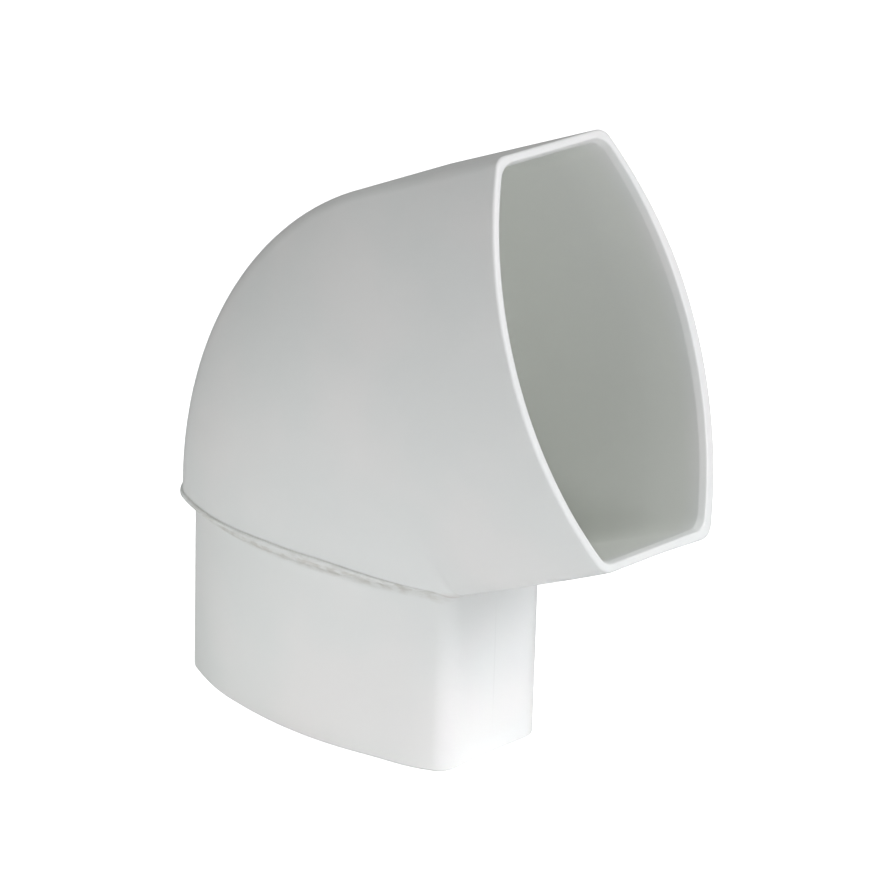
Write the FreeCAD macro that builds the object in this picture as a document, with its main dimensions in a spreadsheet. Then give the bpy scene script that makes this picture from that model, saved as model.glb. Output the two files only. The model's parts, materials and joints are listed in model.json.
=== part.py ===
"""Elbow for an oval rainwater downpipe: one moulded piece, spigot below, socket above.

Frame: the origin is the centre of the spigot's lower end. Z runs up the spigot, X is
the long way of the oval section and the way the socket leans, Y is the short way.
The heel is the outer side of the bend (-X) and the throat the inner side (+X).
All lengths are in millimetres and all angles in degrees.
"""

import FreeCAD, Part

import math
import os

import Sketcher

# Driving dimensions: alias, value, what it is
SIZES = (
    ("spigot_long", 90.0, "spigot, outside, the long way"),
    ("spigot_short", 54.0, "spigot, outside, the short way"),
    ("flank_radius", 95.0, "radius of the bowed long sides, outside the spigot"),
    ("spigot_height", 47.0, "spigot, from its lower end to the body"),
    ("spigot_wall", 2.5, "wall of the spigot"),
    ("spigot_heel_corner", 10.0, "corner of the spigot on the heel side"),
    ("spigot_throat_corner", 7.0, "corner of the spigot on the throat side"),
    ("pipe_gap", 0.8, "play on each side of a pipe pushed into the socket"),
    ("body_wall", 2.8, "wall of the bend and the socket"),
    ("bend_angle", 67.5, "turn from the spigot's axis to the socket's"),
    ("throat_radius", 0.6, "radius of the crease in the throat, outside"),
    ("heel_corner", 16.0, "corner of the body on the heel side, at its foot"),
    ("throat_corner", 5.0, "corner of the body on the throat side, at its foot"),
    ("mouth_corner", 6.0, "corner of the body from the end of the bend to the rim"),
    ("socket_length", 49.5, "straight socket, from the end of the bend to the rim"),
    ("shelf_thickness", 2.6, "shelf inside that joins the body to the spigot"),
    ("shelf_bevel", 0.6, "bevel on the shelf's inner edge"),
    ("collar_height", 1.5, "collar round the foot of the body"),
    ("collar_lip", 0.8, "how far the collar stands out from the body"),
    ("collar_bevel", 0.3, "bevel on the collar's edges"),
    ("collar_inset", 1.6, "how far the collar ends behind the throat's face"),
    ("collar_fade", 14.0, "corner where the collar runs out, on the throat side"),
    ("lead_in_width", 1.0, "bevel inside the rim, across the wall"),
    ("lead_in_depth", 1.5, "bevel inside the rim, along the socket"),
    ("rim_bevel", 0.3, "bevel on the rim's outer edge"),
    ("foot_bevel", 0.7, "bevel on the spigot's lower edge"),
)

# Distances that several features share, worked out from the driving dimensions
BODY_STEP = "pipe_gap + body_wall"
BEND_RADIUS = "( spigot_long / 2 + pipe_gap + body_wall + throat_radius )"
BORE_CORNER = "mouth_corner - body_wall"
NOTHING = "0"

# Sections that the smooth outside of the bend passes through, and runs of its bore
SMOOTH_SECTIONS = 5
BORE_RUNS = 12

# Which end of a sketched line or arc a constraint holds
START = 1
END = 2
CENTRE = 3
ORIGIN = -1
UPRIGHT_AXIS = -2
TOUCHING = 0.001

doc = FreeCAD.newDocument("Elbow")
sheet = doc.addObject("Spreadsheet::Sheet", "Sizes")
for row, (alias, number, meaning) in enumerate(SIZES, start=1):
    sheet.set("A%d" % row, meaning)
    sheet.set("B%d" % row, str(number))
    sheet.setAlias("B%d" % row, alias)
doc.recompute()
ALIASES = {alias for alias, number, meaning in SIZES}

body = doc.addObject("PartDesign::Body", "Body")
body.Label = "elbow"
UP = FreeCAD.Vector(0, 0, 1)


def bound(formula):
    """The formula as an expression on the sheet's cells."""
    return " ".join("Sizes." + word if word in ALIASES else word for word in formula.split())


def value(formula):
    """The number that the formula comes to."""
    return float(sheet.evalExpression(bound(formula)))


def plane(role):
    """One of the body's own origin planes."""
    return next(item for item in body.Origin.OriginFeatures if item.Role == role)


def tie(sketch, constraint, name, formula):
    """Add a named constraint and bind it to the sheet."""
    index = sketch.addConstraint(constraint)
    sketch.renameConstraint(index, name)
    sketch.setExpression("Constraints." + name, bound(formula))


def level_sketch(name):
    """An empty sketch on the plane of the spigot's lower end."""
    sketch = body.newObject("Sketcher::SketchObject", name)
    sketch.AttachmentSupport = [(plane("XY_Plane"), "")]
    sketch.MapMode = "FlatFace"
    return sketch


def turned_sketch(name, share, along=NOTHING):
    """An empty sketch across the body, where that share of the bend has been turned.

    along is its distance from there, square to the section.
    """
    sketch = level_sketch(name)
    angle = "( bend_angle * %g )" % share
    turn = FreeCAD.Rotation(FreeCAD.Vector(0, 1, 0), value(angle))
    sketch.AttachmentOffset = FreeCAD.Placement(FreeCAD.Vector(), turn)
    across = BEND_RADIUS + " * ( 1 - cos" + angle + " ) + ( " + along + " ) * sin" + angle
    up = "spigot_height + " + BEND_RADIUS + " * sin" + angle + " + ( " + along + " ) * cos" + angle
    sketch.setExpression(".AttachmentOffset.Rotation.Angle", bound(angle))
    sketch.setExpression(".AttachmentOffset.Base.x", bound(across))
    sketch.setExpression(".AttachmentOffset.Base.z", bound(up))
    return sketch


def draw_oval(sketch, grow, heel, throat, throat_inset=NOTHING):
    """Draw the oval section: two bowed flanks, two flat ends and four rounded corners.

    grow is the distance outside the spigot's outer face. heel and throat are the corner
    radii on the -X and the +X side. throat_inset draws the +X end in by itself.
    """
    heel_half = value("spigot_long / 2 + " + grow)
    throat_half = heel_half - value(throat_inset)
    flank = value("flank_radius + " + grow)
    drop = value("flank_radius - spigot_short / 2")
    heel_radius = value(heel)
    throat_radius = value(throat)
    heel_x = heel_radius - heel_half
    heel_y = math.sqrt((flank - heel_radius) ** 2 - heel_x**2) - drop
    throat_x = throat_half - throat_radius
    throat_y = math.sqrt((flank - throat_radius) ** 2 - throat_x**2) - drop
    heel_turn = math.atan2(heel_y + drop, heel_x)
    throat_turn = math.atan2(throat_y + drop, throat_x)
    half_turn = math.pi
    full_turn = 2 * math.pi

    def arc(x, y, radius, start, end):
        circle = Part.Circle(FreeCAD.Vector(x, y, 0), FreeCAD.Vector(0, 0, 1), radius)
        return Part.ArcOfCircle(circle, start, end)

    def upright(x, y_from, y_to):
        return Part.LineSegment(FreeCAD.Vector(x, y_from, 0), FreeCAD.Vector(x, y_to, 0))

    upper = sketch.addGeometry(arc(0, -drop, flank, throat_turn, heel_turn))
    throat_up = sketch.addGeometry(arc(throat_x, throat_y, throat_radius, 0, throat_turn))
    throat_end = sketch.addGeometry(upright(throat_half, -throat_y, throat_y))
    throat_low = sketch.addGeometry(arc(throat_x, -throat_y, throat_radius, -throat_turn, 0))
    lower = sketch.addGeometry(arc(0, drop, flank, full_turn - heel_turn, full_turn - throat_turn))
    heel_low = sketch.addGeometry(arc(heel_x, -heel_y, heel_radius, half_turn, full_turn - heel_turn))
    heel_end = sketch.addGeometry(upright(-heel_half, heel_y, -heel_y))
    heel_up = sketch.addGeometry(arc(heel_x, heel_y, heel_radius, heel_turn, half_turn))

    loop = (upper, throat_up, throat_end, throat_low, lower, heel_low, heel_end, heel_up)
    for current, following in zip(loop, loop[1:] + loop[:1]):
        sketch.addConstraint(Sketcher.Constraint("Tangent", current, START, following, END))
    sketch.addConstraint(Sketcher.Constraint("Vertical", throat_end))
    sketch.addConstraint(Sketcher.Constraint("Vertical", heel_end))
    for side in (upper, lower):
        sketch.addConstraint(Sketcher.Constraint("PointOnObject", side, CENTRE, UPRIGHT_AXIS))
    sketch.addConstraint(Sketcher.Constraint("Equal", upper, lower))
    sketch.addConstraint(Sketcher.Constraint("Equal", throat_up, throat_low))
    sketch.addConstraint(Sketcher.Constraint("Equal", heel_up, heel_low))

    heel_reach = Sketcher.Constraint("DistanceX", heel_end, START, ORIGIN, START, heel_half)
    throat_reach = Sketcher.Constraint("DistanceX", ORIGIN, START, throat_end, START, throat_half)
    upper_drop = Sketcher.Constraint("DistanceY", upper, CENTRE, ORIGIN, START, drop)
    lower_drop = Sketcher.Constraint("DistanceY", ORIGIN, START, lower, CENTRE, drop)
    half_long = "spigot_long / 2 + " + grow
    tie(sketch, heel_reach, "heel_half", half_long)
    tie(sketch, throat_reach, "throat_half", half_long + " - ( " + throat_inset + " )")
    tie(sketch, upper_drop, "upper_drop", "flank_radius - spigot_short / 2")
    tie(sketch, lower_drop, "lower_drop", "flank_radius - spigot_short / 2")
    tie(sketch, Sketcher.Constraint("Radius", upper, flank), "flank", "flank_radius + " + grow)
    tie(sketch, Sketcher.Constraint("Radius", heel_up, heel_radius), "heel", heel)
    tie(sketch, Sketcher.Constraint("Radius", throat_up, throat_radius), "throat", throat)
    return sketch


def edges_on(feature, point, normal):
    """Names of the feature's edges that lie in the plane through point, square to normal."""
    names = []
    for number, edge in enumerate(feature.Shape.Edges, start=1):
        middle = edge.valueAt((edge.FirstParameter + edge.LastParameter) / 2)
        spots = [vertex.Point for vertex in edge.Vertexes] + [middle]
        if all(abs((spot - point).dot(normal)) < TOUCHING for spot in spots):
            names.append("Edge%d" % number)
    return names


def edges_along(feature, outline, rise):
    """Names of the feature's edges that follow a level outline, lifted by rise."""
    names = []
    for number, edge in enumerate(feature.Shape.Edges, start=1):
        middle = edge.valueAt((edge.FirstParameter + edge.LastParameter) / 2)
        if Part.Vertex(middle - UP * rise).distToShape(outline.Shape)[0] < TOUCHING:
            names.append("Edge%d" % number)
    return names


def bevel(name, base, edges, size):
    """A bevel on the named edges of the feature before it."""
    chamfer = body.newObject("PartDesign::Chamfer", name)
    chamfer.Base = (base, edges)
    chamfer.Size = value(size)
    chamfer.setExpression("Size", bound(size))
    doc.recompute()


def pad(name, sketch, length):
    """Material from the sketch along its normal."""
    feature = body.newObject("PartDesign::Pad", name)
    feature.Profile = sketch
    feature.setExpression("Length", bound(length))
    doc.recompute()
    return feature


def pocket(name, sketch, length, upward):
    """A cut from the sketch, up its normal or down it."""
    feature = body.newObject("PartDesign::Pocket", name)
    feature.Profile = sketch
    feature.Reversed = upward
    feature.setExpression("Length", bound(length))
    doc.recompute()
    return feature


def bend_sections(name, grow, inward, count):
    """Ovals round the bend, whose corners change evenly from the foot's to the mouth's."""
    sections = []
    for step in range(count):
        share = step / (count - 1)
        blend = "corner * %g + mouth_corner * %g - ( %s )" % (1 - share, share, inward)
        sketch = turned_sketch(name + str(step), share)
        draw_oval(sketch, grow, "heel_" + blend, "throat_" + blend)
        sections.append(sketch)
    doc.recompute()
    return sections


def loft(kind, name, sections, ruled):
    """A skin through the sections, added to the body or cut from it."""
    feature = body.newObject(kind, name)
    feature.Profile = sections[0]
    feature.Sections = [(section, [""]) for section in sections[1:]]
    feature.Ruled = ruled
    doc.recompute()


BEND = math.radians(value("bend_angle"))
SOCKET_AXIS = FreeCAD.Vector(math.sin(BEND), 0, math.cos(BEND))
LOWER_END = FreeCAD.Vector(0, 0, 0)
FOOT = FreeCAD.Vector(0, 0, value("spigot_height"))
COLLAR_TOP = FreeCAD.Vector(0, 0, value("spigot_height + collar_height"))

# The collar: a plate with broken edges, which the bore later turns into a ring
collar_outline = draw_oval(
    turned_sketch("CollarOutline", 0),
    BODY_STEP + " + collar_lip",
    "heel_corner + collar_lip",
    "collar_fade",
    "collar_lip + collar_inset",
)
collar = pad("Collar", collar_outline, "collar_height")
collar_edges = edges_on(collar, FOOT, UP) + edges_on(collar, COLLAR_TOP, UP)
bevel("CollarBevel", collar, collar_edges, "collar_bevel")

# The bend and the socket, solid
outside = bend_sections("BendSection", BODY_STEP, NOTHING, SMOOTH_SECTIONS)
loft("PartDesign::AdditiveLoft", "Bend", outside, False)
socket_sketch = turned_sketch("SocketOutline", 1)
socket = pad("Socket", draw_oval(socket_sketch, BODY_STEP, "mouth_corner", "mouth_corner"), "socket_length")
mouth_sketch = turned_sketch("MouthOutline", 1, "socket_length")
mouth_outline = draw_oval(mouth_sketch, "pipe_gap", BORE_CORNER, BORE_CORNER)
doc.recompute()
rim_edges = edges_on(socket, mouth_outline.Placement.Base, SOCKET_AXIS)
bevel("RimBevel", socket, rim_edges, "rim_bevel")

# The bore of the bend, turned in short straight runs, and the bore of the socket
inside = bend_sections("BoreSection", "pipe_gap", "body_wall", BORE_RUNS + 1)
loft("PartDesign::SubtractiveLoft", "BendBore", inside, True)
pocket("SocketBore", mouth_outline, "socket_length", False)

# The shelf that closes the foot of the body, and the spigot under it
shelf_outline = draw_oval(
    turned_sketch("ShelfOutline", 0),
    "pipe_gap + body_wall / 2",
    "heel_corner - body_wall / 2",
    "throat_corner - body_wall / 2",
)
pad("Shelf", shelf_outline, "shelf_thickness")
spigot_sketch = level_sketch("SpigotOutline")
spigot_outline = draw_oval(spigot_sketch, NOTHING, "spigot_heel_corner", "spigot_throat_corner")
spigot = pad("Spigot", spigot_outline, "spigot_height")
bevel("SpigotBevel", spigot, edges_on(spigot, LOWER_END, UP), "foot_bevel")
spigot_bore_outline = draw_oval(
    level_sketch("SpigotBoreOutline"),
    "( 0 - spigot_wall )",
    "spigot_heel_corner - spigot_wall",
    "spigot_throat_corner - spigot_wall",
)
spigot_bore = pocket("SpigotBore", spigot_bore_outline, "spigot_height + shelf_thickness", True)
shelf_edges = edges_along(spigot_bore, spigot_bore_outline, value("spigot_height + shelf_thickness"))
bevel("ShelfBevel", spigot_bore, shelf_edges, "shelf_bevel")

# The bevel that guides a pipe into the socket
lead_in_outer = draw_oval(
    turned_sketch("LeadInOuter", 1, "socket_length"),
    "pipe_gap + lead_in_width",
    BORE_CORNER + " + lead_in_width",
    BORE_CORNER + " + lead_in_width",
)
lead_in_sketch = turned_sketch("LeadInInner", 1, "socket_length - lead_in_depth")
lead_in_inner = draw_oval(lead_in_sketch, "pipe_gap", BORE_CORNER, BORE_CORNER)
doc.recompute()
loft("PartDesign::SubtractiveLoft", "LeadIn", [lead_in_outer, lead_in_inner], True)

# Nothing is written unless every feature worked
faults = [item.Name for item in doc.Objects if {"Invalid", "Error"} & set(item.State)]
if faults:
    raise RuntimeError("these features failed: " + ", ".join(faults))
if body.Shape.isNull() or not body.Shape.isValid():
    raise RuntimeError("the elbow has no valid shape")

os.makedirs("parts", exist_ok=True)
body.Shape.exportStep("parts/" + body.Label + ".step")
print(body.Label, len(body.Shape.Solids), "solid,", round(body.Shape.Volume), "cubic mm", body.Shape.BoundBox)
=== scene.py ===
# %% [markdown]
# A white elbow for an oval rainwater pipe, moulded in one piece. The spigot below pushes
# into the next pipe, and the wider socket above takes the pipe that comes down from the
# gutter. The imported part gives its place, its box and the way the socket points. This
# script dresses it: one skin worked out as a grid of points, one material and a plain
# pale studio.

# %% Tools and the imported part
import json
import math

import bpy
import numpy as np
from mathutils import Matrix, Vector


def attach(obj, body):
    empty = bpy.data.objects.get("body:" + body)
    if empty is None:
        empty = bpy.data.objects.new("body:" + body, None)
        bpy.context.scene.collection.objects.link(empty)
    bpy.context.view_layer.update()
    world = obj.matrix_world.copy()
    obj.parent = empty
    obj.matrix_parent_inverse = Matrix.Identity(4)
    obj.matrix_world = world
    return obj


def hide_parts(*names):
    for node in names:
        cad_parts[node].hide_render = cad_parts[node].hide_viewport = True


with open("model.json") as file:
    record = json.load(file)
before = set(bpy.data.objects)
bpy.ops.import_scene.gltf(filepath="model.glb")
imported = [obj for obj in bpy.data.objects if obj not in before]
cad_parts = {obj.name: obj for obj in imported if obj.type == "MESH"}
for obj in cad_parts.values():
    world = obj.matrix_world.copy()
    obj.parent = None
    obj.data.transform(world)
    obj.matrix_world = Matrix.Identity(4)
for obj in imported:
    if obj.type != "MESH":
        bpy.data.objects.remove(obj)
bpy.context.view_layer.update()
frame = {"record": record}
MM = 0.001

# %% [markdown]
# The sizes are the part's own, in millimetres. The way the socket points and the middle of
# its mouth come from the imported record, so the skin can't drift away from the solid.

# %% Sizes
mounts = {mount["name"]: mount for mount in frame["record"]["mounts"]}
socket_axis = Vector(mounts["socket"]["axis"])
mouth_centre = Vector(mounts["socket"]["pos_m"]) / MM
BEND = math.atan2(socket_axis.x, socket_axis.z)

SPIGOT_LONG = 90.0
SPIGOT_SHORT = 54.0
FLANK_RADIUS = 95.0
SPIGOT_HEIGHT = 47.0
SPIGOT_WALL = 2.5
SPIGOT_CORNERS = (10.0, 6.0)
PIPE_GAP = 0.8
BODY_WALL = 2.8
THROAT_RADIUS = 0.6
FOOT_CORNERS = (16.0, 5.0)
MOUTH_CORNERS = (4.4, 4.8)
MOUTH_BORE_CORNERS = (5.6, 3.8)
SHELF_THICKNESS = 2.6
COLLAR_LIP = 0.7
LEAD_IN_WIDTH = 1.3
LEAD_IN_SLOPE = 0.37
BORE_DEPTH = 24.0
BORE_THROAT_CORNER = 9.0

BODY_STEP = PIPE_GAP + BODY_WALL
BEND_CENTRE = SPIGOT_LONG / 2 + BODY_STEP + THROAT_RADIUS
DROP = FLANK_RADIUS - SPIGOT_SHORT / 2
SOCKET_LENGTH = (mouth_centre.x - BEND_CENTRE * (1 - math.cos(BEND))) / math.sin(BEND)
print("bend %.1f degrees, straight socket %.1f mm" % (math.degrees(BEND), SOCKET_LENGTH))

# %% [markdown]
# The section is an oval with two bowed flanks, two flat ends and four round corners, and
# all its arcs meet smoothly. One function gives it for any distance outside the spigot and
# any corner radius, always with the same number of points, so that rings of different
# sections join up point by point.

# %% The oval section
FLANK_STEPS = 132
CORNER_STEPS = 20
END_STEPS = 16
SPANS = (CORNER_STEPS, FLANK_STEPS, CORNER_STEPS, END_STEPS) * 2
SPAN = np.repeat(np.arange(len(SPANS)), SPANS)
SHARE = np.concatenate([np.arange(steps) / steps for steps in SPANS])


def oval(grow, heel, throat):
    """Points of the section, one row for each ring, from the throat's end round by +Y.

    The flank is an arc about a point DROP beyond the middle line. A corner of radius r
    touches the flank and the flat end: its centre is r inside the end, and lies on the
    circle about the flank's centre whose radius is the flank's less r. Each span of the
    round is an arc with its own centre, radius and two angles, and a flat end is an arc
    of no radius whose centre slides along the end.
    """
    none = np.zeros(len(SHARE))
    grow, heel, throat = grow + none, heel + none, throat + none
    half = SPIGOT_LONG / 2 + grow
    flank = FLANK_RADIUS + grow
    heel_x = heel - half
    throat_x = half - throat
    heel_y = np.sqrt((flank - heel) ** 2 - heel_x**2) - DROP
    throat_y = np.sqrt((flank - throat) ** 2 - throat_x**2) - DROP
    heel_turn = np.arctan2(heel_y + DROP, heel_x)
    throat_turn = np.arctan2(throat_y + DROP, throat_x)
    half_turn = none + np.pi
    far_heel_turn = 2 * np.pi - heel_turn
    far_throat_turn = 2 * np.pi - throat_turn

    def spans(*values):
        return np.choose(SPAN, np.broadcast_arrays(*values))

    centre_x = spans(throat_x, none, heel_x, -half, heel_x, none, throat_x, half)
    centre_y = spans(throat_y, none - DROP, heel_y, heel_y * (1 - 2 * SHARE),
                     -heel_y, none + DROP, -throat_y, throat_y * (2 * SHARE - 1))
    radius = spans(throat, flank, heel, none, heel, flank, throat, none)
    first = spans(none, throat_turn, heel_turn, half_turn, half_turn, far_heel_turn, far_throat_turn, none)
    last = spans(throat_turn, heel_turn, half_turn, half_turn, far_heel_turn, far_throat_turn, 2 * half_turn, none)
    angle = first + (last - first) * SHARE
    return centre_x + radius * np.cos(angle), centre_y + radius * np.sin(angle)


print("points round a ring:", len(SHARE))

# %% [markdown]
# The whole surface is one closed grid. A ring starts at the foot of the spigot, climbs the
# outside to the rim, turns over it and comes down the bore, back to where it began. Each
# stretch below gives its rings as five values: how far the section is outside the spigot,
# its two corner radii, how far the bend has turned, and how far along the axis the ring
# lies from there.

# %% Stretches of the profile
FOOT_ROUND = 0.6
STEP_FILLET = 0.5
LOWER_ROUND = 0.4
RIM_ROUND = 0.7
EDGE_ROUND = 0.15
SHELF_ROUND = 0.7


def column(values):
    return np.asarray(values, float).reshape(-1, 1)


def eased(count, both=True):
    """Shares from 0 to 1, closer together at the ends: (1 - cos of the share of a half turn) / 2."""
    share = column(np.linspace(0, 1, count))
    return (1 - np.cos(np.pi * share)) / 2 if both else 1 - np.cos(np.pi / 2 * share)


def quarter(count):
    """Sine and cosine over a quarter turn."""
    angle = column(np.linspace(0, np.pi / 2, count))
    return np.sin(angle), np.cos(angle)


def mix(start, end, share):
    return start + (end - start) * share


strips = []


def strip(name, grow, heel, throat, turn, along, sag=0):
    """Keep one stretch of rings, and its name for the marks painted on it later.

    The last value is the share of the collar's own sag that the ring follows.
    """
    values = [column(v) if np.ndim(v) < 2 else v for v in (grow, heel, throat, turn, along, sag)]
    strips.append((name, np.broadcast_arrays(*values)))


def spigot_strip(name, grow, height, sag=0):
    """Rings on the spigot's own section at a height above its end."""
    heel, throat = SPIGOT_CORNERS
    strip(name, grow, heel + grow, throat + grow, 0, height - SPIGOT_HEIGHT, sag)


# %% [markdown]
# The collar is the moulding's parting line, and it isn't drawn with a ruler. On the real
# piece it rises a little along the flank, dips at the throat, is tallest in the middle of
# the flank, and runs out before the throat. Each of these is a smooth function of the
# place along the section, used for both flanks.

# %% The collar's shape along the section
foot_x, foot_y = oval(column([BODY_STEP]), *FOOT_CORNERS)


def smooth(start, end):
    """0 before the start, 1 after the end, and 3 s squared less 2 s cubed between."""
    share = np.clip((foot_x - start) / (end - start), 0, 1)
    return share**2 * (3 - 2 * share)


SAG_RISE = 0.42
SAG_CREST = 18.0
SAG_HALF_WAVE = 56.0
THROAT_DIP = 0.8
sag_height = SAG_RISE * np.cos(np.pi * (foot_x - SAG_CREST) / SAG_HALF_WAVE) - THROAT_DIP * smooth(43, 48)
run_out = smooth(12, 46)
heel_side = 1 - smooth(-43, -33)
collar_height = np.minimum(1.15 + 0.7 * smooth(-26, -2) - 1.75 * run_out,
                           0.35 * (BEND_CENTRE - foot_x))
lip = (COLLAR_LIP - 0.15 * (1 - smooth(-46, -30))) * (1 - run_out)
seam_depth = 0.06 * (1 - run_out)
seam_width = np.minimum(0.35 + 0.25 * heel_side, 0.25 * (BEND_CENTRE - foot_x))
lower_round = np.minimum(LOWER_ROUND, 0.5 * collar_height)
top_round = (0.3 + 0.3 * heel_side) * collar_height
print("collar: %.2f mm high at most, standing out %.2f mm" % (collar_height.max(), lip.max()))

# %% [markdown]
# Where the two halves of the mould met, a thin fin of plastic squeezed out under the
# collar and was scraped off by hand. Its ragged edge is a sum of waves round the section
# with heights and starts drawn once from a seeded generator, so every run gives the same.

# %% Flash left under the collar
FLASH_HANG = 0.6
chance = np.random.default_rng(11)
wave_counts = np.array([23, 31, 47, 64, 89, 113])
wave_starts = chance.uniform(0, 2 * np.pi, len(wave_counts))
wave_sizes = chance.uniform(0.6, 1.0, len(wave_counts)) / np.sqrt(wave_counts)
section_turn = 2 * np.pi * np.arange(len(SHARE)) / len(SHARE)
ragged = (wave_sizes[:, None] * np.sin(wave_counts[:, None] * section_turn + wave_starts[:, None])).sum(axis=0)
ragged = np.clip(0.45 + 0.9 * ragged, 0, 1)
flash_reach = smooth(-28, -12) * (1 - smooth(38, 47))
flash = FLASH_HANG * flash_reach * ragged
print("flash hangs %.2f mm at most" % flash.max())

# %% The outside, from the foot to the collar
sine, cosine = quarter(7)
spigot_strip("foot", FOOT_ROUND * (sine - 1), FOOT_ROUND * (1 - cosine))
wall_share = eased(20)[1:]
wall_top = SPIGOT_HEIGHT - STEP_FILLET
spigot_strip("spigot", 0 * wall_share, mix(FOOT_ROUND, wall_top, wall_share), wall_share**4)
sine, cosine = quarter(5)
spigot_strip("fillet", STEP_FILLET * (1 - cosine[1:]), wall_top + STEP_FILLET * sine[1:], 1)


def foot_strip(name, out, height, corner_mix=1.0):
    """Rings at the body's foot: out is beyond the body's face, height above the step."""
    heel = mix(SPIGOT_CORNERS[0], FOOT_CORNERS[0], corner_mix)
    throat = mix(SPIGOT_CORNERS[1], FOOT_CORNERS[1], corner_mix)
    strip(name, BODY_STEP + out, heel, throat, 0, height, 1)


step_share = eased(9)[1:]
step_out = mix(STEP_FILLET - BODY_STEP, lip - lower_round, step_share)
foot_strip("step", step_out, 0 * step_out, step_share)
sine, cosine = quarter(6)
hang = np.sin(np.pi * column(np.linspace(0, 1, 6)))[1:]
foot_strip("collar_edge", lip - lower_round * (1 - sine[1:]), lower_round * (1 - cosine[1:]) - flash * hang)
face_share = column([0.25, 0.5, 0.75, 1.0])
foot_strip("collar_face", lip + 0 * face_share, mix(lower_round, collar_height - top_round, face_share))
sine, cosine = quarter(5)
ledge = 0.5 * (lip + seam_depth)
foot_strip("collar_top", lip - ledge * (1 - cosine[1:]), collar_height - top_round * (1 - sine[1:]))
seam_share = column([0.4, 0.8, 1.0])
foot_strip("seam", mix(lip - ledge, -seam_depth, seam_share), collar_height + 0 * seam_share)

# %% [markdown]
# The core that formed the bore stood a little off the middle of the mould, so the wall is
# thicker on the far side than on the near one. The extra fades in along the socket. The rim's
# outer edge is also crisper on that side.

# %% The outside of the bend, the socket and the rim
CORE_SHIFT = 0.5
far_share = np.clip(foot_y / 20, 0, 1)
far_share = far_share**2 * (3 - 2 * far_share) * smooth(-36, -4)
rim_round = mix(RIM_ROUND, 0.5 * RIM_ROUND, far_share)
turn_start = np.arcsin((collar_height + seam_width) / (BEND_CENTRE - foot_x))
bend_share = eased(52, both=False)
outer_turn = mix(turn_start, BEND, bend_share)
outer_part = outer_turn / BEND
SAG_FADE = 10.0
BEND_LEAN = 0.26
outer_sag = np.exp(-(BEND_CENTRE - foot_x) * outer_turn / SAG_FADE)
strip("body", BODY_STEP - BEND_LEAN * np.sin(np.pi * outer_part**2),
      mix(FOOT_CORNERS[0], MOUTH_CORNERS[0], outer_part),
      mix(FOOT_CORNERS[1], MOUTH_CORNERS[1], outer_part), outer_turn, 0, outer_sag)
socket_share = eased(16)[1:]
rim_start = SOCKET_LENGTH - rim_round
strip("socket", BODY_STEP + CORE_SHIFT * far_share * socket_share**2, *MOUTH_CORNERS, BEND, rim_start * socket_share,
      outer_sag[-1:] * (1 - socket_share**3))


def rim_strip(name, inward, depth):
    """Rings at the rim: inward from the outside face, and depth behind the rim's plane."""
    heel, throat = [mix(outer, bore, inward / BODY_WALL) for outer, bore in zip(MOUTH_CORNERS, MOUTH_BORE_CORNERS)]
    if inward.min() > bevel_in:
        throat = mix(throat, BORE_THROAT_CORNER, (depth / BORE_DEPTH).clip(0, 1) ** 0.7)
    extra = CORE_SHIFT * far_share * np.clip(1 - inward / bevel_in, 0, 1)
    strip(name, BODY_STEP - inward + extra, heel, throat, BEND, SOCKET_LENGTH - depth)


bevel_in = BODY_WALL - LEAD_IN_WIDTH
sine, cosine = quarter(6)
rim_strip("rim_edge", rim_round * (1 - cosine[1:]), rim_round * (1 - sine[1:]))
rim_share = column([0.25, 0.75, 1.0])
rim_strip("rim", mix(rim_round, bevel_in, rim_share), 0 * rim_share)

# %% [markdown]
# The mouth opens with a lead-in, so that the pipe finds its way. A round edge turns from the
# flat rim into a steep bevel, and the bevel runs into a slow taper of the bore. The smooth
# minimum of bevel and taper gives the soft edge where they meet on the real piece.

# %% The lead-in and the taper of the bore
INNER_ROUND = 0.5
BEVEL_SHARE = 0.8
BEVEL_DEPTH = 2.0
TAPER_DEPTH = 5.0
EDGE_SOFTNESS = 0.035
steepness = math.atan(LEAD_IN_SLOPE)
round_end = INNER_ROUND * (1 - math.sin(steepness))
round_turn = np.linspace(0, np.pi / 2 - steepness, 8)[1:]
lead_depth = column([*(INNER_ROUND * (1 - np.cos(round_turn))), 0.6, 1.0, 1.4, 1.7, 1.9, 2.1, 2.4, 2.9, 3.6, 5, 7,
                     9.5, 12.5, 16, 20, BORE_DEPTH])
in_round = np.minimum(lead_depth, round_end)
bevel = np.sqrt(in_round * (2 * INNER_ROUND - in_round)) + LEAD_IN_SLOPE * (lead_depth - in_round)
taper_share = 1 - np.exp(-(lead_depth - BEVEL_DEPTH) / TAPER_DEPTH)
taper = LEAD_IN_WIDTH * mix(BEVEL_SHARE, 1.0, taper_share)
lead_in = -EDGE_SOFTNESS * np.log(np.exp(-bevel / EDGE_SOFTNESS) + np.exp(-taper / EDGE_SOFTNESS))
lead_in *= LEAD_IN_WIDTH / lead_in[-1]
rim_strip("lead_in", bevel_in + lead_in, lead_depth)
print("lead-in: %.2f mm wide after 2 mm" % np.interp(2.0, lead_depth[:, 0], lead_in[:, 0]))

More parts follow.
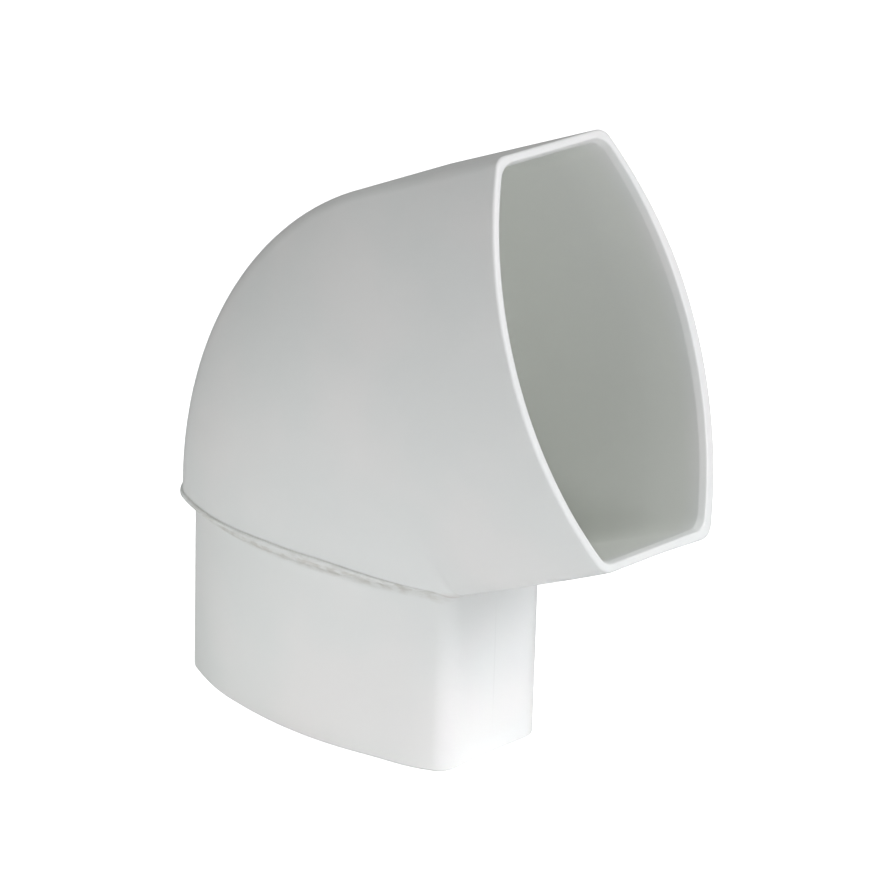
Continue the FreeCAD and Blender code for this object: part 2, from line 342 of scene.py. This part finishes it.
# %% The bore, back down to the foot
bore_share = eased(8)[1:]
rim_strip("bore", BODY_WALL + 0 * bore_share, mix(BORE_DEPTH, SOCKET_LENGTH, bore_share))
bore_x = oval(column([PIPE_GAP]), *[corner - BODY_WALL for corner in FOOT_CORNERS])[0]
shelf_turn = np.arcsin(SHELF_THICKNESS / (BEND_CENTRE - bore_x))
inner_turn = mix(BEND, shelf_turn, eased(36)[1:])
inner_part = inner_turn / BEND
strip("bend_bore", PIPE_GAP, mix(FOOT_CORNERS[0] - BODY_WALL, MOUTH_BORE_CORNERS[0], inner_part),
      mix(FOOT_CORNERS[1] - BODY_WALL, BORE_THROAT_CORNER, inner_part), inner_turn, 0)


def shelf_strip(name, share, height):
    """Level rings between the bore of the body and the bore of the spigot."""
    heel = mix(FOOT_CORNERS[0] - BODY_WALL, SPIGOT_CORNERS[0] - SPIGOT_WALL, share)
    throat = mix(FOOT_CORNERS[1] - BODY_WALL, SPIGOT_CORNERS[1] - SPIGOT_WALL, share)
    strip(name, mix(PIPE_GAP, -SPIGOT_WALL, share), heel, throat, 0, height)


shelf_width = PIPE_GAP + SPIGOT_WALL
round_share = SHELF_ROUND / shelf_width
shelf_strip("shelf", mix(0, 1 - round_share, eased(7)[1:]), SHELF_THICKNESS)
sine, cosine = quarter(6)
shelf_strip("shelf_edge", 1 - round_share * (1 - sine[1:]), SHELF_THICKNESS - SHELF_ROUND * (1 - cosine[1:]))
bore_share = eased(14)[1:]
spigot_strip("spigot_bore", -SPIGOT_WALL + 0 * bore_share,
             mix(SPIGOT_HEIGHT + SHELF_THICKNESS - SHELF_ROUND, EDGE_ROUND, bore_share))
end_share = column([0, 0.1, 0.5, 0.9])
spigot_strip("end_ring", mix(EDGE_ROUND - SPIGOT_WALL, -FOOT_ROUND, end_share), 0 * end_share)
print("rings:", sum(len(values[0]) for name, values in strips))

# %% [markdown]
# The rings are now placed. A ring point is x across the long way and y across the short
# way. Turning by an angle about the crease in the throat swings x round the bend's centre,
# and the distance along the axis is added in the direction the turned ring faces.

# %% The skin's mesh
WARP = (0.8, 1.1, 0.4)


def ramp(value, start, end):
    """0 before the start, 1 after the end, and 3 s squared less 2 s cubed between."""
    share = np.clip((value - start) / (end - start), 0, 1)
    return share**2 * (3 - 2 * share)


def ring_points(grow, heel, throat, turn, along, sag):
    """X is the centre + (x - centre) cos turn + along sin turn, and Z the height - (x - centre)
    sin turn + along cos turn, both from the spigot's axis and end, and then the collar's sag."""
    x, y = oval(grow, heel, throat)
    reach = x - BEND_CENTRE
    across = BEND_CENTRE + reach * np.cos(turn) + along * np.sin(turn)
    up = SPIGOT_HEIGHT - reach * np.sin(turn) + along * np.cos(turn) + sag * sag_height
    low = ramp(up, SPIGOT_HEIGHT, 25) * ramp(-y, 4, 13)
    corner = low * ramp(across, 25, 39)
    across = across + WARP[0] * corner
    y = y - WARP[1] * corner - WARP[2] * low * np.exp(-((across + 26) / 9) ** 2)
    return np.stack([across, y, up], axis=-1)


def grid_mesh(name, points):
    """A closed grid: ring i meets ring i + 1, and the last ring meets the first."""
    rings, around = points.shape[:2]
    here = np.arange(rings * around).reshape(rings, around)
    up = np.roll(here, -1, axis=0)
    faces = np.stack([here, np.roll(here, -1, axis=1), np.roll(up, -1, axis=1), up], axis=-1).reshape(-1, 4)
    mesh = bpy.data.meshes.new(name)
    mesh.vertices.add(rings * around)
    mesh.vertices.foreach_set("co", (points * MM).ravel())
    mesh.loops.add(faces.size)
    mesh.loops.foreach_set("vertex_index", faces.ravel())
    mesh.polygons.add(len(faces))
    mesh.polygons.foreach_set("loop_start", np.arange(0, faces.size, 4))
    mesh.polygons.foreach_set("use_smooth", np.ones(len(faces), bool))
    mesh.update(calc_edges=True)
    mesh.validate()
    return mesh, faces


points = np.concatenate([ring_points(*values) for name, values in strips])
mesh, faces = grid_mesh("elbow_skin", points)
corners = points.reshape(-1, 3)[faces]
volume = np.einsum("ij,ij->i", corners[:, 0], np.cross(corners[:, 1], corners[:, 2])).sum()
volume += np.einsum("ij,ij->i", corners[:, 0], np.cross(corners[:, 2], corners[:, 3])).sum()
print("skin: %d faces, %.0f cubic mm" % (len(faces), volume / 6))

# %% [markdown]
# Dirt and scraped plastic gather along the collar's lower edge, and the spigot just below lies in
# the collar's shade; both are painted as one darker band. Two of the values kept at each point
# serve it: how far above the edge the point lies, and how much of the band reaches it. Both
# change slowly, so the mesh carries them without steps.

# %% The marks' places, kept on the mesh
OUTSIDE = ("foot", "spigot", "fillet", "step", "collar_edge", "collar_face", "collar_top", "seam")
outside = np.concatenate([np.full((len(values[0]), 1), name in OUTSIDE) for name, values in strips])
above_edge = points[..., 2] - SPIGOT_HEIGHT - sag_height
# How far along the flank the darker band reaches: dirt at the collar's edge and painted shade under it
dirt_and_shade_reach = outside * smooth(-50, -38) * (1 - smooth(44, 50))
BORE = ("bore", "bend_bore", "shelf", "shelf_edge", "spigot_bore")
lead_share = np.clip((lead_depth - BEVEL_DEPTH) / TAPER_DEPTH, 0, 1)
in_bore = np.concatenate([lead_share if name == "lead_in" else np.full((len(values[0]), 1), float(name in BORE))
                          for name, values in strips]) + 0 * dirt_and_shade_reach
behind_mouth = (np.array(mouth_centre) - points) @ np.array(socket_axis)
in_depth = in_bore * np.clip((behind_mouth - 20) / 40, 0, 1)
for title, marks in (("above_edge", above_edge), ("dirt_and_shade_reach", dirt_and_shade_reach), ("in_bore", in_bore),
                     ("in_depth", in_depth)):
    kept = mesh.attributes.new(title, "FLOAT", "POINT")
    kept.data.foreach_set("value", np.ascontiguousarray(marks, np.float32).ravel())
print("dirt reaches %d of %d points" % ((dirt_and_shade_reach > 0.01).sum(), dirt_and_shade_reach.size))

skin = bpy.data.objects.new("elbow_skin", mesh)
bpy.context.scene.collection.objects.link(skin)
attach(skin, "root")
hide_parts("elbow")

# %% [markdown]
# The elbow is rigid PVC, moulded in a polished tool: an even cool white, satin and never
# glossy, with the faintest unevenness where the melt flowed.

# %% Helpers for colour and nodes
def linear(code):
    """An sRGB hex colour as linear red, green and blue."""
    shares = np.array([int(code[i:i + 2], 16) for i in (1, 3, 5)]) / 255
    low = shares / 12.92
    high = ((shares + 0.055) / 1.055) ** 2.4
    return [*np.where(shares <= 0.04045, low, high), 1.0]


def add(tree, kind, inputs=(), **settings):
    """Add a node, set its properties, and fill or link its inputs."""
    node = tree.nodes.new(kind)
    for key, value in settings.items():
        setattr(node, key, value)
    for key, value in dict(inputs).items():
        if isinstance(value, bpy.types.NodeSocket):
            tree.links.new(value, node.inputs[key])
        else:
            node.inputs[key].default_value = value
    return node


def new_material(name):
    material = bpy.data.materials.new(name)
    material.use_nodes = True
    material.node_tree.nodes.clear()
    return material, material.node_tree


# %% White moulded PVC
# Small marks, each a soft ellipsoid: its middle and its radii in mm (along the section, across
# it, up from the ground), its colour, and how much of the white it covers
MARKS = {
    "grit_in_seam": ((-31.5, -24.4, 48.1), (0.35, 0.35, 0.35), "#6E6C66", 0.7),
    "grit_under_collar": ((-8.6, -30.5, 46.7), (0.4, 0.4, 0.4), "#6E6C66", 0.7),
    "grit_on_spigot": ((43.6, -16.6, 22.5), (0.3, 0.3, 0.3), "#6E6C66", 0.7),
    "stain_at_corner": ((46.8, -18.0, 45.6), (3.8, 3.8, 2.2), "#BDB2A9", 0.3),
    "mould_line": ((45.0, 0.0, 24.0), (3.0, 0.25, 19.0), "#B9BAB8", 0.15),
}


def moulded_pvc():
    material, tree = new_material("white_moulded_pvc")
    place = add(tree, "ShaderNodeTexCoord").outputs["Object"]

    def math_node(operation, first, second=0.0):
        return add(tree, "ShaderNodeMath", {0: first, 1: second}, operation=operation).outputs["Value"]

    def blend(share, first, second):
        return add(tree, "ShaderNodeMix", {0: share, 6: first, 7: second}, data_type="RGBA").outputs[2]

    def vector_math(operation, first, second=(0, 0, 0)):
        return add(tree, "ShaderNodeVectorMath", {0: first, 1: second}, operation=operation).outputs

    def noise(scale, detail, vector=place):
        return add(tree, "ShaderNodeTexNoise", {"Vector": vector, "Scale": scale, "Detail": detail}).outputs["Fac"]

    def spread(value, low, high, to_low=0.0, to_high=1.0):
        return add(tree, "ShaderNodeMapRange", {"Value": value, "From Min": low, "From Max": high,
                                                "To Min": to_low, "To Max": to_high}).outputs["Result"]

    # The melt flowed unevenly: cool and warm whites a hair apart, in patches of 20 mm and more
    tone = blend(spread(noise(28.0, 2.0), 0.4, 0.6), linear("#DCDFDD"), linear("#E0E1DF"))
    tone = blend(spread(noise(16.0, 1.0), 0.55, 0.75, 0.0, 0.35), tone, linear("#E0DCDA"))

    # The bore is painted a shade greener, standing for the light its walls pass to one another through the plastic
    bored = add(tree, "ShaderNodeAttribute", attribute_name="in_bore").outputs["Fac"]
    tone = blend(bored, tone, linear("#DADDD8"))

    # Light that comes through the wall lifts the depth of the bore, and a paler white stands for it
    deep = add(tree, "ShaderNodeAttribute", attribute_name="in_depth").outputs["Fac"]
    tone = blend(deep, tone, linear("#EBEEE8"))

    # Dirt along the collar's lower edge and painted shade on the spigot under the collar, one darker band broken
    # into dashes of a millimetre
    above = add(tree, "ShaderNodeAttribute", attribute_name="above_edge").outputs["Fac"]
    reach = add(tree, "ShaderNodeAttribute", attribute_name="dirt_and_shade_reach").outputs["Fac"]
    below_share = spread(above, -3.6, -2.2, 0.0, 0.45)
    edge_share = spread(above, 0.9, 0.1, 0.25, 1.0)
    band = math_node("MULTIPLY", math_node("MINIMUM", below_share, edge_share), reach)
    drawn_out = vector_math("MULTIPLY", place, (0.4, 0.4, 1.0))["Vector"]
    dashes = spread(noise(820.0, 2.0, drawn_out), 0.42, 0.62, 0.3, 1.0)
    dirt_and_shade = math_node("MULTIPLY", band, dashes)
    tone = blend(dirt_and_shade, tone, linear("#A9A497"))

    # Grit that the melt picked up, a stain at a corner and the line where the mould's halves met
    for centre, radii, colour, share in MARKS.values():
        away = vector_math("SUBTRACT", place, [value * MM for value in centre])["Vector"]
        away = vector_math("DIVIDE", away, [value * MM for value in radii])["Vector"]
        away = vector_math("LENGTH", away)["Value"]
        tone = blend(spread(away, 1.0, 0.4, 0.0, share), tone, linear(colour))

    grain = noise(900.0, 2.0)
    bump = add(tree, "ShaderNodeBump", {"Height": grain, "Strength": 0.05, "Distance": 0.0001})
    shader = add(tree, "ShaderNodeBsdfPrincipled",
                 {"Base Color": tone, "Roughness": 0.42, "IOR": 1.53, "Normal": bump.outputs["Normal"]})
    add(tree, "ShaderNodeOutputMaterial", {"Surface": shader.outputs["BSDF"]})
    return material


mesh.materials.append(moulded_pvc())
print("material:", mesh.materials[0].name)

# %% [markdown]
# The studio is a white floor and soft lamps. The photograph's ground is pure white, so the
# floor shows white to the camera, and keeps a faint shadow of the elbow. The photographed
# edges are a little darker than the ground, so the plastic mirrors a dimmer floor.

# %% Floor
FLOOR_HALF = 3.0
floor_mesh = bpy.data.meshes.new("floor")
floor_mesh.from_pydata([(x * FLOOR_HALF, y * FLOOR_HALF, 0) for x, y in ((-1, -1), (1, -1), (1, 1), (-1, 1))],
                       [], [(0, 1, 2, 3)])
floor = bpy.data.objects.new("floor", floor_mesh)
bpy.context.scene.collection.objects.link(floor)

floor_material, tree = new_material("floor_paper")
path = add(tree, "ShaderNodeLightPath")
shade = add(tree, "ShaderNodeMix", {0: path.outputs["Is Glossy Ray"], 6: linear("#E6E6E6"), 7: linear("#B4B4B4")},
            data_type="RGBA")
paper = add(tree, "ShaderNodeBsdfDiffuse", {"Color": shade.outputs[2]})
glow = add(tree, "ShaderNodeEmission", {"Color": linear("#FFFFFF"), "Strength": 0.85})
both = add(tree, "ShaderNodeAddShader", {0: paper.outputs["BSDF"], 1: glow.outputs["Emission"]})
choice = add(tree, "ShaderNodeMixShader", {0: path.outputs["Is Camera Ray"], 1: paper.outputs["BSDF"],
                                           2: both.outputs["Shader"]})
add(tree, "ShaderNodeOutputMaterial", {"Surface": choice.outputs["Shader"]})
floor_mesh.materials.append(floor_material)

# %% World
world = bpy.data.worlds.new("studio_air")
world.use_nodes = True
world.node_tree.nodes.clear()
tree = world.node_tree
path = add(tree, "ShaderNodeLightPath")
AIR = 0.238
strength = add(tree, "ShaderNodeMapRange", {"Value": path.outputs["Is Camera Ray"], "To Min": AIR, "To Max": 1.0})
air = add(tree, "ShaderNodeBackground", {"Color": linear("#FFFFFF"), "Strength": strength.outputs["Result"]})
add(tree, "ShaderNodeOutputWorld", {"Surface": air.outputs["Background"]})
bpy.context.scene.world = world

# %% Lamps
AIM = Vector((0.02, 0, 0.075))


def panel(name, place, size, power, colour=(1, 1, 1)):
    """A square soft lamp that faces the elbow."""
    lamp = bpy.data.lights.new(name, "AREA")
    lamp.size = size
    lamp.energy = power
    lamp.color = colour
    holder = bpy.data.objects.new(name, lamp)
    holder.location = place
    holder.rotation_euler = (Vector(place) - AIM).to_track_quat("Z", "Y").to_euler()
    bpy.context.scene.collection.objects.link(holder)


DAYLIGHT = (0.975, 0.96, 1.0)
panel("mouth_low", (1.0, -0.55, 0.25), 0.3, 4.05, DAYLIGHT)
panel("right_back_high", (1.0, 0.3, 0.75), 0.4, 5.3, DAYLIGHT)
panel("top", (0.2, 0.1, 1.4), 0.5, 4.5)
panel("left_low", (-0.9, -1.0, 0.3), 0.4, 0.9)


def wash(name, place, target, size, power, spread):
    """A small lamp with a narrow beam that lights only a patch of the floor."""
    lamp = bpy.data.lights.new(name, "AREA")
    lamp.size = size
    lamp.energy = power
    lamp.spread = math.radians(spread)
    holder = bpy.data.objects.new(name, lamp)
    holder.location = place
    holder.rotation_euler = (Vector(place) - Vector(target)).to_track_quat("Z", "Y").to_euler()
    bpy.context.scene.collection.objects.link(holder)


wash("floor_left", (-0.6, -0.9, 0.6), (-0.25, -0.40, 0), 0.15, 0.92, 36)
wash("floor_front", (0.3, -1.0, 0.6), (0.15, -0.42, 0), 0.15, 0.29, 36)
wash("floor_right", (0.9, 0.1, 0.6), (0.42, 0.0, 0), 0.15, 0.24, 36)
wash("floor_by_spigot", (0.75, 0.25, 0.42), (0.095, 0.01, 0), 0.04, 0.010, 8)

# %% [markdown]
# The camera stands where the photographer's did: seen from the section's long side, turned
# towards the mouth, a little above it, with a long lens.

# %% Camera
AZIMUTH = math.radians(43.70)
ELEVATION = math.radians(20.82)
ROLL = math.radians(1.55)
DISTANCE = 1106.15 * MM
SLIDE = (18.62 * MM, 64.48 * MM)
FOCAL_PIXELS = 4476.0
FRAME_PIXELS = 870
SENSOR = 36.0

back = Vector((math.sin(AZIMUTH) * math.cos(ELEVATION), -math.cos(AZIMUTH) * math.cos(ELEVATION),
               math.sin(ELEVATION)))
level = Vector((math.cos(AZIMUTH), math.sin(AZIMUTH), 0))
right = level * math.cos(ROLL) + back.cross(level) * math.sin(ROLL)
upward = back.cross(right)
lens = bpy.data.cameras.new("camera")
lens.sensor_width = SENSOR
lens.lens = FOCAL_PIXELS / FRAME_PIXELS * SENSOR
camera = bpy.data.objects.new("camera", lens)
turned = Matrix((right, upward, back)).transposed().to_4x4()
turned.translation = right * SLIDE[0] + upward * SLIDE[1] + back * DISTANCE
camera.matrix_world = turned
bpy.context.scene.collection.objects.link(camera)
bpy.context.scene.camera = camera
bpy.context.scene.view_settings.view_transform = "Standard"

# %% The end
bpy.context.view_layer.update()
